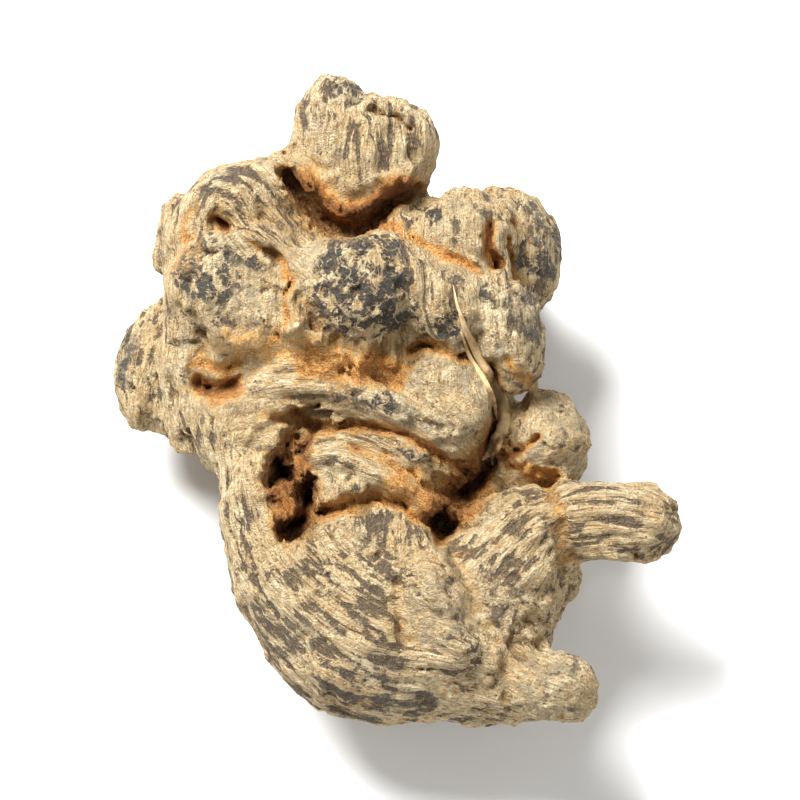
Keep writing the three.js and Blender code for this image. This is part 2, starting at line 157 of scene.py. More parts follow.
# Folds of the face, as seen from its front: a path in x and y, the half width, how far it stands out of
# the skin (or is sunk into it, if less than nothing) or how deep it fills a cleft, and how rusty, dark
# or pale it is. The dark is painted shade in the creases, pits, holes and clefts that the folds sink or
# fill, over the brown of their broken tissue.
FOLDS = {
    "crack_under_brow": dict(
        path=[(-9.6, -1.0), (-7.2, -2.6), (-4.6, -2.2), (-1.6, -2.5),
              (1.2, -3.9), (4.4, -5.4), (7.0, -7.2)],
        width=0.45, rise=-1.0, rust=0.8, dark=0.3,
    ),
    "second_band": dict(
        path=[(-4.2, -3.2), (-1.6, -3.5), (0.8, -4.4), (3.6, -5.9), (6.0, -7.2)],
        width=0.95, rise=0.6,
    ),
    "crack_under_second_band": dict(
        path=[(-4.6, -4.0), (-1.8, -5.3), (0.8, -6.6), (3.2, -8.0), (5.6, -8.9)],
        width=0.4, rise=-0.7, rust=0.6, dark=0.2,
    ),
    "rusty_valley": dict(
        path=[(-0.2, -7.4), (2.2, -8.6), (3.8, -10.2)],
        width=1.5, rise=0.5, rust=0.9, dark=0.1,
    ),
    "throat_tissue": dict(
        path=[(6.6, -7.4), (5.4, -8.8), (4.4, -10.0)],
        width=1.5, fill=2.0, rust=0.9, dark=0.15,
    ),
    "throat_fibre": dict(path=[(2.0, -7.0), (4.0, -8.6), (5.0, -10.4)], width=0.35, rise=0.5, rust=0.6),
    "third_arch": dict(
        path=[(-6.8, -9.2), (-4.8, -8.2), (-2.2, -7.6), (0.4, -8.0), (2.0, -9.0)],
        width=1.0, rise=0.5,
    ),
    "crack_under_third_arch": dict(
        path=[(-6.8, -10.3), (-4.6, -9.3), (-1.8, -8.9), (0.8, -9.8), (2.8, -11.4), (3.6, -12.6)],
        width=0.6, rise=-1.1, rust=1.0, dark=0.35,
    ),
    "tongue_face": dict(path=[(-6.8, -6.0), (-2.4, -6.2), (1.8, -7.6)], width=2.6, rise=0.6),
    "tail_ridge": dict(path=[(2.4, -15.4), (4.0, -18.4), (5.6, -22.0)], width=2.1, rise=1.5),
    "tail_ridge_side": dict(
        path=[(5.2, -14.4), (6.8, -18.6), (8.2, -21.8)],
        width=0.7, rise=-0.6, rust=0.3,
    ),
    "low_root_base": dict(
        path=[(10.2, -21.8), (9.6, -24.4), (9.7, -26.8)],
        width=0.7, rise=-0.45, rust=0.3,
    ),
    "high_root_base": dict(
        path=[(13.4, -7.6), (14.2, -10.2), (15.0, -14.4)],
        width=0.8, rise=-0.6, rust=0.5,
    ),
    "deep_pit": dict(path=[(3.6, -10.9), (4.3, -11.6)], width=0.8, rise=-2.2, rust=0.8, dark=1.0),
    "throat_dark": dict(
        path=[(8.6, -5.6), (7.2, -7.0), (6.2, -8.6)],
        width=0.6, rise=-1.4, rust=0.6, dark=1.0,
    ),
    "hole_tissue": dict(
        path=[(-10.6, -8.2), (-10.0, -9.6), (-10.8, -10.6)],
        width=0.9, fill=2.2, rust=1.0,
    ),
    "hole_tissue_high": dict(path=[(-9.4, -6.2), (-9.0, -7.0)], width=0.7, fill=2.0, rust=0.9),
    "hole_flake": dict(path=[(-10.0, -4.4), (-8.6, -5.6)], width=0.9, fill=3.0, rust=0.3),
    "hole_top": dict(path=[(-10.4, -2.2), (-8.8, -2.6), (-8.4, -3.6)], width=2.0, fill=5.0),
    "under_brow_left": dict(path=[(-12.0, -2.4), (-9.4, -2.6)], width=1.3, fill=3.4, rust=0.1),
    "hole_dark": dict(path=[(-11.2, -5.6), (-10.4, -6.6)], width=0.7, rise=-0.8, rust=0.5, dark=1.0),
    "hole_dark_right": dict(path=[(-8.0, -7.2), (-8.6, -9.0)], width=0.6, rise=-0.8, rust=0.5, dark=1.0),
    "hole_dark_low": dict(
        path=[(-10.6, -11.6), (-8.8, -11.0)],
        width=0.6, rise=-0.8, rust=0.5, dark=0.9,
    ),
    # Painted shade in the cleft under the stump.
    "under_stump_dark": dict(
        path=[(-10.6, 20.9), (-8.8, 18.6), (-7.2, 16.6), (-5.2, 15.6),
              (-3.4, 15.7), (-1.7, 17.3), (1.4, 19.6)],
        width=0.45, rise=-1.6, rust=0.7, dark=0.85,
    ),
    "under_stump_tissue": dict(
        path=[(-8.2, 20.0), (-6.2, 18.0), (-4.0, 17.4), (-2.0, 18.4), (0.4, 20.0)],
        width=0.8, rise=1.0, rust=0.9, dark=0.4,
    ),
    "stump_lip": dict(
        path=[(-9.4, 21.4), (-7.4, 20.2), (-4.8, 19.4), (-2.2, 19.8), (1.0, 21.0)],
        width=0.7, rise=0.8, rust=0.1,
    ),
    "between_knobs": dict(
        path=[(-10.6, 16.2), (-10.2, 13.2), (-10.3, 10.0), (-9.8, 6.6)],
        width=1.3, rise=1.5, rust=0.25,
    ),
    "cork_ring": dict(
        path=[(-5.3, 11.6), (-4.9, 13.2), (-3.2, 13.7), (-2.0, 12.9), (-1.7, 11.6), (-2.6, 10.5)],
        width=0.25, rise=0.15, pale=0.45,
    ),
    "cork_ring_tail": dict(
        path=[(-4.9, 11.6), (-6.0, 9.8), (-5.2, 8.0), (-2.6, 7.6)],
        width=0.25, rise=0.15, rust=0.1, pale=0.4,
    ),
    "brow_lower_edge": dict(
        path=[(-12.6, -1.4), (-10.4, -1.6), (-8.0, -2.2)],
        width=0.35, rise=-0.3, rust=0.6, dark=0.1,
    ),
    "brow_groove": dict(
        path=[(-13.0, 0.6), (-10.0, 0.2), (-7.2, -0.2)],
        width=0.45, rise=-0.45, rust=0.3, dark=0.4,
    ),
    "rust_band": dict(
        path=[(-15.4, 5.2), (-12.4, 4.6), (-8.6, 4.4), (-4.6, 3.8), (-0.4, 3.2)],
        width=1.4, rise=0.9, rust=0.65,
    ),
    "under_front_knob": dict(path=[(-9.8, 6.4), (-7.8, 5.4)], width=1.2, rise=1.0, rust=0.4),
    "rust_band_bright": dict(
        path=[(-8.0, 3.4), (-4.4, 2.9), (-0.8, 2.6)],
        width=1.1, rise=-0.2, rust=1.5,
    ),
    "crack_by_front_knob": dict(
        path=[(-9.9, 11.0), (-10.3, 9.2), (-10.2, 7.2), (-11.2, 5.6)],
        width=0.4, rise=-0.5, rust=0.8, dark=0.2,
    ),
    "crack_above_cheek": dict(
        path=[(0.8, 4.4), (3.4, 4.7), (5.6, 4.0), (7.8, 3.2)],
        width=0.5, rise=-0.8, rust=0.8, dark=0.3,
    ),
    # Painted shade along the groove at the cheek's side.
    "cheek_side": dict(
        path=[(8.3, 3.0), (8.9, 0.2), (8.6, -3.0), (7.8, -5.6)],
        width=0.7, rise=-1.2, rust=0.6, dark=0.7,
    ),
    "shoulder_hole": dict(
        path=[(-16.6, 16.6), (-16.1, 16.0)],
        width=0.65, rise=-2.0, rust=1.0, dark=0.9,
    ),
    "shoulder_fill": dict(path=[(-13.4, 14.9), (-11.6, 14.5)], width=0.9, rise=0.9, rust=0.1),
    "left_fill": dict(path=[(-19.8, 15.0), (-19.6, 12.4)], width=1.0, rise=0.9, rust=0.4),
    "shoulder_low": dict(path=[(-18.0, 14.4), (-15.0, 14.6), (-12.4, 15.2)], width=0.9, rise=0.9),
    "shoulder_seam": dict(
        path=[(-13.6, 14.4), (-12.0, 13.6), (-10.6, 12.2), (-10.0, 10.4)],
        width=0.3, rise=-0.5, rust=0.9, dark=0.1,
    ),
    "left_groove": dict(
        path=[(-18.9, 17.6), (-19.6, 15.0), (-20.2, 12.0)],
        width=0.4, rise=-0.3, rust=0.7, dark=0.1,
    ),
    "shoulder_slit": dict(
        path=[(8.0, 15.7), (8.3, 14.0), (8.6, 12.2)],
        width=0.5, rise=-1.1, rust=1.0, dark=0.6,
    ),
    "shoulder_strip": dict(path=[(9.1, 15.4), (9.3, 13.4), (9.6, 11.4)], width=0.3, rise=0.5, rust=0.2),
    "shoulder_slit_small": dict(
        path=[(9.8, 14.9), (10.2, 13.0), (10.4, 11.2)],
        width=0.3, rise=-0.9, rust=0.9, dark=0.4,
    ),
    "shoulder_crease": dict(
        path=[(10.1, 16.4), (10.8, 15.4), (11.8, 14.7)],
        width=0.35, rise=-0.8, rust=0.6, dark=0.7,
    ),
    "knob_right_flake": dict(
        path=[(9.9, 3.9), (10.6, 2.6), (11.6, 1.6)],
        width=0.45, rise=-0.4, rust=0.9, dark=0.15,
    ),
    "shoulder_seam_right": dict(
        path=[(-1.4, 16.0), (1.8, 14.6), (4.6, 13.0), (7.2, 11.4)],
        width=0.4, rise=-0.35, rust=0.8, dark=0.05,
    ),
    "left_cavity": dict(
        path=[(-18.4, 1.7), (-16.8, 0.7), (-15.2, 1.3)],
        width=1.0, rise=-1.5, rust=1.0, dark=0.7,
    ),
    "left_cavity_lip": dict(
        path=[(-18.8, 0.2), (-16.8, -0.7), (-14.6, 0.2)],
        width=0.6, rise=0.5, rust=0.2,
    ),
    "left_wall_seam": dict(
        path=[(-14.6, 3.6), (-16.4, 3.0), (-18.6, 3.6)],
        width=0.6, rise=-0.5, rust=0.8, dark=0.1,
    ),
    "lens_groove": dict(
        path=[(-0.5, -16.6), (-0.2, -18.8), (0.5, -21.4)],
        width=0.7, rise=-1.0, rust=0.2, dark=0.45,
    ),
    "stump_notch": dict(
        path=[(-2.6, 26.2), (-0.6, 26.0), (1.0, 24.9)],
        width=0.35, rise=-0.8, rust=0.2, dark=0.8,
    ),
    "side_knob_crease": dict(
        path=[(9.8, -5.0), (11.6, -4.2), (12.8, -3.4)],
        width=0.4, rise=-0.6, rust=1.0, dark=0.5,
    ),
    "side_knob_flap": dict(
        path=[(9.4, -4.4), (10.6, -5.2), (11.6, -6.4)],
        width=0.4, rise=1.0, rust=0.4,
    ),
    "side_knob_tear": dict(
        path=[(10.6, -5.8), (12.6, -6.6), (14.2, -6.8)],
        width=0.4, rise=-0.5, rust=1.0, dark=0.3,
    ),
    "torn_lip_left": dict(path=[(-12.8, -8.4), (-12.4, -5.4), (-11.4, -3.4)], width=0.6, rise=0.5),
    "torn_lip_top": dict(
        path=[(-7.6, -2.4), (-8.4, -3.8), (-9.2, -4.8)],
        width=0.3, rise=-0.8, rust=0.9, dark=0.4,
    ),
}

# Dark caps of old cork: a place on the skin, its radius and how black it is.
CAPS = {
    "front_knob": dict(at=(-3.4, 12.0, 9.4), radius=4.3, black=1.0),
    "front_knob_low": dict(at=(-4.6, 8.6, 10.0), radius=4.4, black=0.95),
    "front_knob_side": dict(at=(-0.8, 8.0, 9.0), radius=2.9, black=0.8),
    "left_knob": dict(at=(-17.6, 11.4, 6.6), radius=3.6, black=0.85),
    "left_knob_high": dict(at=(-13.2, 12.8, 6.8), radius=2.0, black=0.8),
    "left_knob_low": dict(at=(-15.6, 7.6, 7.0), radius=1.3, black=0.8),
    "shoulder_streaks": dict(at=(-16.6, 20.4, 4.0), radius=3.0, black=0.6),
    "stump_tip": dict(at=(-4.6, 28.2, 1.6), radius=2.2, black=0.75),
    "stump_tip_left": dict(at=(-8.6, 26.6, 1.0), radius=2.2, black=0.55),
    "brow": dict(at=(-1.8, 0.4, 8.4), radius=1.9, black=0.9),
    "brow_left": dict(at=(-5.4, 1.2, 8.6), radius=1.5, black=0.7),
    "second_band": dict(at=(1.4, -4.6, 8.0), radius=1.2, black=0.8),
    "second_band_low": dict(at=(4.4, -6.4, 7.6), radius=0.7, black=0.9),
    "third_arch": dict(at=(-4.0, -8.0, 8.0), radius=1.4, black=0.6),
    "cheek_spot": dict(at=(3.9, 1.4, 8.0), radius=0.6, black=0.6),
    "side_front": dict(at=(4.4, 7.2, 8.4), radius=1.8, black=0.85),
    "right_knob": dict(at=(11.6, 7.6, 5.4), radius=3.0, black=0.7),
    "right_knob_low": dict(at=(12.2, 3.6, 4.4), radius=2.2, black=0.6),
    "right_shoulder": dict(at=(9.0, 17.6, 3.2), radius=2.2, black=0.45),
    "right_shoulder_spot": dict(at=(2.8, 17.0, 4.0), radius=1.2, black=0.85),
    "right_shoulder_side": dict(at=(13.0, 12.6, 0.6), radius=2.4, black=0.8),
    "right_knob_arc": dict(at=(8.4, 8.8, 6.6), radius=1.2, black=0.85),
    "right_knob_arc_far": dict(at=(10.6, 9.3, 5.6), radius=1.0, black=0.8),
    "right_knob_edge": dict(at=(12.8, 2.0, 4.0), radius=1.4, black=0.8),
    "right_shoulder_far": dict(at=(14.2, 14.6, -1.0), radius=4.2, black=0.75),
    "right_shoulder_slit": dict(at=(5.2, 15.6, 4.6), radius=1.3, black=0.55),
    "back_lobe": dict(at=(-25.0, 3.6, -4.6), radius=3.8, black=0.7),
    "back_left": dict(at=(-14.2, 6.2, -18.0), radius=4.6, black=0.9),
    "back_right": dict(at=(10.6, 11.0, -18.0), radius=4.8, black=0.9),
    "back_crown": dict(at=(-5.0, 19.6, -13.0), radius=3.6, black=0.75),
    "back_low": dict(at=(7.6, -6.4, -12.6), radius=3.2, black=0.6),
    "side_knob": dict(at=(17.2, -2.6, -1.6), radius=2.2, black=0.5),
    "tail_top": dict(at=(-1.2, -13.6, 9.0), radius=3.4, black=0.5),
    "tail_right": dict(at=(8.6, -14.4, 8.6), radius=4.4, black=0.45),
    "tail_low": dict(at=(-3.0, -26.8, 6.4), radius=7.0, black=0.62),
    "tail_middle": dict(at=(-6.0, -18.4, 9.6), radius=4.4, black=0.45),
    "tail_left": dict(at=(-12.6, -19.0, 4.0), radius=6.4, black=0.55),
    "tail_left_high": dict(at=(-15.6, -10.0, 3.0), radius=3.4, black=0.4),
    "tail_back": dict(at=(-4.0, -20.0, -8.6), radius=6.4, black=0.5),
}

# Where the skin is speckled and crusty rather than streaked: a place, its radius and how much.
SPECKLED = {
    "cheek": dict(at=(3.8, -0.2, 7.6), radius=4.6, much=1.0),
    "cheek_low": dict(at=(5.0, -3.6, 7.4), radius=2.6, much=0.9),
    "side_knob": dict(at=(14.0, -3.6, 3.0), radius=4.4, much=0.9),
    "low_root_tip": dict(at=(13.6, -26.0, 9.6), radius=4.2, much=0.9),
    "tail_ridge": dict(at=(3.6, -18.6, 11.4), radius=3.4, much=0.8),
    "low_root_back": dict(at=(8.0, -17.6, 10.0), radius=3.0, much=0.5),
    "left_knob": dict(at=(-15.2, 9.6, 8.0), radius=4.6, much=0.9),
    "right_shoulder": dict(at=(6.0, 14.6, 4.6), radius=4.6, much=0.6),
    "middle": dict(at=(-9.8, 12.0, 6.0), radius=4.0, much=0.8),
    "under_left_knob": dict(at=(-17.0, 2.6, 4.4), radius=4.4, much=0.9),
    "stump_side": dict(at=(-8.0, 23.0, 2.6), radius=2.8, much=0.6),
    "right_knob": dict(at=(9.8, 5.6, 7.0), radius=4.8, much=0.7),
}

# Guides that the wrinkles run along, and how wide each one rules.
GUIDES = {
    "tail": dict(
        path=LIMBS["tail"]["path"] + [(14.4, -26.0, 7.4), (18.0, -26.2, 8.4)], reach=7.0,
    ),
    "side_root": dict(
        path=[(0.0, -22.0, 2.6), (7.0, -18.0, 2.8), (12.4, -12.4, 4.2), (18.2, -11.0, 5.6),
              (26.0, -11.6, 7.0)],
        reach=5.4,
    ),
    "arches": dict(
        path=[(-13.0, -3.0, 5.0), (-6.0, -1.6, 7.0), (0.0, -3.4, 7.0), (6.6, -7.6, 5.6)], reach=4.4,
    ),
    "brow": dict(
        path=[(-14.6, 0.9, 4.0), (-9.4, 1.3, 7.4), (-5.0, 0.7, 8.6), (-0.6, -0.9, 8.6), (3.0, -3.4, 8.0)],
        reach=3.4,
    ),
    "stump": dict(path=[(-4.0, 12.0, -4.0), (-3.6, 20.0, -2.0), (-3.0, 32.0, -1.0)], reach=6.4),
    "shoulder": dict(
        path=[(-19.8, 14.6, 2.0), (-19.5, 18.6, 2.6), (-17.0, 21.2, 3.0), (-13.4, 20.4, 4.0),
              (-10.9, 17.6, 4.4), (-8.1, 14.8, 5.0)],
        reach=4.2,
    ),
    "body": dict(path=[(-3.0, 14.0, -5.0), (-3.0, -8.0, -4.0)], reach=11.0),
}

# ---------------------------------------------------------------------------------------------------
# Smooth noise and small helpers.


def faded(share):
    """A share from 0 to 1, eased at both ends."""
    share = np.clip(share, 0.0, 1.0)
    return share * share * (3 - 2 * share)


LATTICE = 64  # the noise repeats after this many waves
SLOPES = np.random.default_rng(12).normal(size=(LATTICE**3, 3)).astype(np.float32)
SLOPES /= np.linalg.norm(SLOPES, axis=1, keepdims=True)


def noise(points, seed):
    """Smooth noise from about -1 to 1 with one wave to the unit."""
    points = np.asarray(points, np.float32) + np.float32(seed * 0.731)
    base = np.floor(points)
    part = points - base
    base = base.astype(np.int32)
    eased = part * part * part * (part * (part * 6 - 15) + 10)
    steps = [(base + n) & (LATTICE - 1) for n in (0, 1)]
    shares = [1 - eased, eased]
    x, y, z = part.T
    total = np.zeros(len(points), np.float32)
    for i, j, k in np.ndindex(2, 2, 2):
        cell = (steps[i][:, 0] * LATTICE + steps[j][:, 1]) * LATTICE + steps[k][:, 2]
        slope = SLOPES[cell]
        rise = (x - i) * slope[:, 0] + (y - j) * slope[:, 1] + (z - k) * slope[:, 2]
        total += shares[i][:, 0] * shares[j][:, 1] * shares[k][:, 2] * rise
    return total * 1.6


def smooth_path(path, pieces=8):
    """A Catmull-Rom curve through the points, as a list of points."""
    path = np.array(path, float)
    if len(path) == 2:
        return np.linspace(path[0], path[1], pieces + 1)
    ends = np.vstack([2 * path[0] - path[1], path, 2 * path[-1] - path[-2]])
    share = np.linspace(0, 1, pieces, endpoint=False)[:, None]
    stops = []
    for a, b, c, d in zip(ends, ends[1:], ends[2:], ends[3:]):
        squared = 2 * a - 5 * b + 4 * c - d
        cubed = 3 * b - a - 3 * c + d
        stops.append(0.5 * (2 * b + (c - a) * share + squared * share**2 + cubed * share**3))
    return np.vstack([*stops, path[-1:]])


def centripetal_path(path, pieces=6):
    """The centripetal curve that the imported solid's limbs follow."""
    path = np.array(path, float)
    ends = np.vstack([2 * path[0] - path[1], path, 2 * path[-1] - path[-2]])
    stops = []
    for a, b, c, d in zip(ends, ends[1:], ends[2:], ends[3:]):
        gaps = [max(np.linalg.norm(q - p) ** 0.5, 1e-4) for p, q in ((a, b), (b, c), (c, d))]
        start = ((b - a) / gaps[0] - (c - a) / (gaps[0] + gaps[1]) + (c - b) / gaps[1]) * gaps[1]
        end = ((c - b) / gaps[1] - (d - b) / (gaps[1] + gaps[2]) + (d - c) / gaps[2]) * gaps[1]
        for share in np.arange(pieces) / pieces:
            cubed = 2 * b - 2 * c + start + end
            squared = -3 * b + 3 * c - 2 * start - end
            stops.append(b + start * share + squared * share**2 + cubed * share**3)
    return np.array([*stops, path[-1]])


# ---------------------------------------------------------------------------------------------------
# The field: distance from a point in the root's own axes to its skin, negative inside.


def soft_min(a, b, width):
    overlap = np.maximum(width - np.abs(a - b), 0) / width
    return np.minimum(a, b) - overlap * overlap * width / 4


def swelling_distance(points, swelling):
    half = swelling["half"]
    angle = math.radians(swelling.get("turn", 0))
    cos, sin = math.cos(angle), math.sin(angle)
    across = np.array([[cos, sin, 0], [-sin, cos, 0], [0, 0, 1]])
    scaled = (points - swelling["at"]) @ across.T / half
    reach = np.linalg.norm(scaled, axis=1)
    steep = np.linalg.norm(scaled / half, axis=1)
    return reach * (reach - 1) / np.maximum(steep, 1e-6)


def limb_distance(points, stops, widths, deep=1.0):
    nearest = np.full(len(points), np.inf)
    for start, end, wide, narrow in zip(stops, stops[1:], widths, widths[1:]):
        line = end - start
        offset = points - start
        share = np.clip(offset @ line / (line @ line), 0, 1)
        offset = offset - share[:, None] * line
        offset[:, 2] /= deep
        nearest = np.minimum(nearest, np.linalg.norm(offset, axis=1) - (wide + (narrow - wide) * share))
    return nearest


def limb_parts(limb, pieces=6):
    """The points of a limb's or a cleft's path, and its radius at each of them."""
    stops = centripetal_path(limb["path"], pieces)
    radius = limb["radius"]
    widths = np.interp(np.arange(len(stops)) / pieces, np.arange(len(radius)), radius)
    return stops, widths


def roll(points):
    x, y, z = points.T
    turn = 2 * math.pi / ROLL_WAVE
    first = np.sin(turn * (x + 0.35 * y) + 1.3 * np.sin(0.6 * turn * z))
    second = np.sin(turn * (y - 0.3 * z) + 1.1 * np.sin(0.7 * turn * x) + 2.0)
    third = np.sin(turn * (z + 0.4 * x) + 0.9 * np.sin(0.5 * turn * y) + 4.1)
    return ROLL * (first + second + third) / 1.5


FAR = 50.0  # farther than any swelling reaches
SUNK = 0.3  # how far the tissue in a cleft stays below the skin around it
DRESS = 0.8  # the most that wrinkles, pits and crumbs move the folded skin
REACH = 6.0  # beyond this from a solid's own outline it has no say in the skin
DRAWN_WITHIN = 3.2  # how near the plain form a point must be for anything to be drawn there
WANDER = 0.55  # how far what is drawn strays from its ruled place
WANDER_WAVE = 2.2  # the length of that straying


def melted(points):
    """Distance to the swellings and limbs, melted together."""
    distance = np.full(len(points), FAR)

    def melt(chosen, found, soft):
        old = distance[chosen]
        distance[chosen] = np.where(old >= FAR, found, soft_min(old, found, soft))

    for swelling in SWELLINGS.values():
        offset = points - swelling["at"]
        chosen = np.flatnonzero((offset * offset).sum(1) < (max(swelling["half"]) + REACH) ** 2)
        melt(chosen, swelling_distance(points[chosen], swelling), swelling.get("soft", SOFT))
    for limb in LIMBS.values():
        stops, widths = limb_parts(limb)
        margin = max(widths) + REACH
        near = np.all((points > stops.min(0) - margin) & (points < stops.max(0) + margin), axis=1)
        chosen = np.flatnonzero(near)
        melt(chosen, limb_distance(points[chosen], stops, widths), limb.get("soft", SOFT))
    return distance


def whole_and_cut(points):
    """The form before and after its clefts are taken away."""
    whole = melted(points) + roll(points)
    cut = whole
    for cleft in CLEFTS.values():
        stops, widths = limb_parts(cleft)
        cut = -soft_min(-cut, limb_distance(points, stops, widths, cleft["deep"]), CLEFT_SOFT)
    return whole, cut


def plain_field(points):
    """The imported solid's own field."""
    return whole_and_cut(points)[1]


def slope_of(field, points, step=0.05):
    """The outward direction of a field."""
    slopes = np.stack(
        [field(points + step * axis) - field(points - step * axis) for axis in np.eye(3)], 1
    )
    return slopes / np.maximum(np.linalg.norm(slopes, axis=1, keepdims=True), 1e-9)


# ---------------------------------------------------------------------------------------------------
# What is drawn over the form.


def wandered(points, seed=40):
    """The points moved a little by noise, so that what is drawn with them has no ruled edge."""
    moved = []
    for n in (0, 11, 22):
        wide = noise(points / WANDER_WAVE, seed + n)
        moved.append(wide + 0.4 * noise(points / WANDER_WAVE * 2.6, seed + n + 5))
    return points + WANDER * np.stack(moved, 1)


def folds(points, moved=None):
    """How far the folds lift the skin or fill its clefts, and how rusty, dark and pale they are; the dark is
    painted shade in their creases and clefts.
    """
    rise, fill, rust, dark, pale = np.zeros((5, len(points)))
    seen = faded((points[:, 2] + 2.0) / 3.0)
    moved = wandered(points) if moved is None else moved
    for fold in FOLDS.values():
        line = smooth_path(fold["path"], 6)
        stops = np.column_stack([line, np.zeros(len(line))])
        flat = moved * (1, 1, 0)
        margin = fold["width"] * 4
        near = np.all((flat[:, :2] > line.min(0) - margin) & (flat[:, :2] < line.max(0) + margin), axis=1)
        chosen = np.flatnonzero(near & (seen > 0))
        away = limb_distance(flat[chosen], stops, np.zeros(len(stops))) / fold["width"]
        body = np.exp(-(away**2) * 1.1) * seen[chosen]
        wide = np.exp(-(away**2) * 0.55) * seen[chosen]
        rise[chosen] += fold.get("rise", 0) * body
        fill[chosen] += fold.get("fill", 0) * body
        rust[chosen] = np.maximum(rust[chosen], fold.get("rust", 0) * wide)
        dark[chosen] = np.maximum(dark[chosen], fold.get("dark", 0) * body)
        pale[chosen] = np.maximum(pale[chosen], fold.get("pale", 0) * body)
    return rise, fill, rust, dark, pale


def caps(points, moved):
    """How black the old cork is at each point, and how speckled the skin."""
    spread = points + 1.7 * (moved - points)
    found = []
    for table, name in ((CAPS, "black"), (SPECKLED, "much")):
        share = np.zeros(len(points))
        for spot in table.values():
            away = np.linalg.norm(spread - spot["at"], axis=1) / spot["radius"]
            share = np.maximum(share, spot[name] * faded((1.2 - away) / 0.45))
        found.append(share)
    return found


def flow(points):
    """Each point's place along, across and out from the guides, and each guide's share of it."""
    places = []
    shares = []
    for guide in GUIDES.values():
        stops = smooth_path(guide["path"], 6)
        lines = np.diff(stops, axis=0)
        lengths = np.linalg.norm(lines, axis=1)
        headings = lines / lengths[:, None]
        turns = np.vstack([headings[:1], (headings[1:] + headings[:-1]) / 2, headings[-1:]])
        best = np.full(len(points), np.inf)
        place = np.zeros((len(points), 3))
        travelled = 0.0
        for n, (start, line) in enumerate(zip(stops, lines)):
            offset = points - start
            share = np.clip(offset @ line / (line @ line), 0, 1)
            offset = offset - share[:, None] * line
            away = np.linalg.norm(offset, axis=1)
            heading = turns[n] * (1 - share[:, None]) + turns[n + 1] * share[:, None]
            side = np.cross(heading, (0, 0, 1))
            side /= np.maximum(np.linalg.norm(side, axis=1, keepdims=True), 1e-6)
            up = np.cross(side, heading)
            here = np.column_stack(
                [travelled + share * lengths[n], (offset * side).sum(1), (offset * up).sum(1)]
            )
            closer = away < best
            place[closer] = here[closer]
            best = np.minimum(best, away)
            travelled += lengths[n]
        places.append(place)
        shares.append(np.exp(-2.2 * (best / guide["reach"]) ** 2) + 1e-9)
    shares = np.array(shares) ** 2
    shares /= shares.sum(0)
    return places, shares


def along_guides(places, shares, seed, wave, stretch):
    """Noise drawn out along the guides: its wave across them in millimetres, stretched along them."""
    total = np.zeros(len(shares[0]))
    for n, (place, share) in enumerate(zip(places, shares)):
        chosen = np.flatnonzero(share > 0.02)
        scaled = place[chosen] / (wave * stretch, wave, wave)
        total[chosen] += share[chosen] * noise(scaled, seed + 7 * n)
    return total


def wrinkles(points, moved, places, shares, crusted):
    """The height of the wrinkles, in millimetres, and how far each point is up a pale fibre."""
    bent = [place + 0.35 * (moved - points) for place in places]
    fine = along_guides(bent, shares, 400, 0.7, 6.5)
    middle = along_guides(bent, shares, 440, 1.15, 5.5)
    coarse = along_guides(bent, shares, 480, 2.4, 3.0)
    crackle = noise((points + 1.4 * (moved - points)) / 0.85, 520)
    veins = noise((points + 0.9 * (moved - points)) / 1.7, 540)
    fibre = 0.55 * middle + 0.35 * fine + 0.25 * coarse
    crusty = 0.62 - 2.6 * np.minimum(np.abs(crackle), 0.8 * np.abs(veins) + 0.05)
    fibre = 1.7 * fibre * (1 - 0.85 * crusted) + crusty * 0.85 * crusted
    flakes = noise((points + 2.0 * (moved - points)) / 1.3, 560)
    height = 0.4 * np.clip(fibre, -1.1, 1.1) + 0.22 * coarse + (0.16 + 0.16 * crusted) * flakes
    return height, fibre


def pits(points):
    """Small warts and scars, in millimetres."""
    warts = noise(points / 1.5, 600)
    scars = noise(points / 2.4, 620)
    return 0.16 * faded((warts - 0.25) / 0.4) - 0.4 * faded((scars - 0.4) / 0.22)


def crumble(points, rust, dark):
    """The broken tissue inside the clefts and holes, in millimetres."""
    lumps = 0.5 - 2.2 * np.abs(noise(points / (1.0, 1.4, 1.0), 700))
    rough = lumps + 0.7 * noise(points / 0.6, 720)
    return 0.55 * rough * np.clip(rust * 0.25 + dark, 0, 1)


def torn(points):
    """How deep a point is in one of the clefts: 1 inside, fading to 0 a little way off."""
    inside = np.zeros(len(points))
    for cleft in CLEFTS.values():
        stops, widths = limb_parts(cleft)
        away = limb_distance(points, stops, widths, cleft["deep"])
        inside = np.maximum(inside, faded((1.5 - away) / 2.0))
    return inside


def folded(whole, cut, rise, fill):
    """The form with its clefts partly filled and its folds raised."""
    filled = np.minimum(cut, np.maximum(cut - fill, whole + SUNK))
    return filled - rise


def dressed_field(points):
    """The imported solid's field with all that is drawn over it."""
    whole, distance = whole_and_cut(points)
    near = np.flatnonzero(np.abs(distance) < DRAWN_WITHIN)
    chosen = points[near]
    moved = wandered(chosen)
    rise, fill, rust, dark, _ = folds(chosen, moved)
    black, speckled = caps(chosen, moved)
    broken = torn(chosen)
    places, shares = flow(chosen)
    height, _ = wrinkles(chosen, moved, places, shares, np.maximum(black, speckled))
    bare = 1 - 0.7 * np.clip(dark + broken, 0, 1)
    drawn = height * bare + pits(chosen) * bare + crumble(chosen, rust, dark + broken)
    distance[near] = folded(whole[near], distance[near], rise, fill) - drawn
    return distance


# ---------------------------------------------------------------------------------------------------
# From the root's own axes to where it lies.

TIP = math.radians(90 - FACE_ELEVATION_DEG)
LIE = np.array([[1, 0, 0], [0, math.cos(TIP), -math.sin(TIP)], [0, math.sin(TIP), math.cos(TIP)]])


def laid_over(corners):
    """Where the own origin lies, in millimetres: it is slid until the plain skin passes through the
    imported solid's corners."""
    shift = np.array([0.0, 0.0, 15.0])
    for _ in range(10):
        own = (corners - shift) @ LIE
        away = plain_field(own)
        slopes = slope_of(plain_field, own) @ LIE.T
        fair = np.abs(away) < 2.5
        shift += np.linalg.lstsq(slopes[fair], away[fair], rcond=None)[0]
    return shift


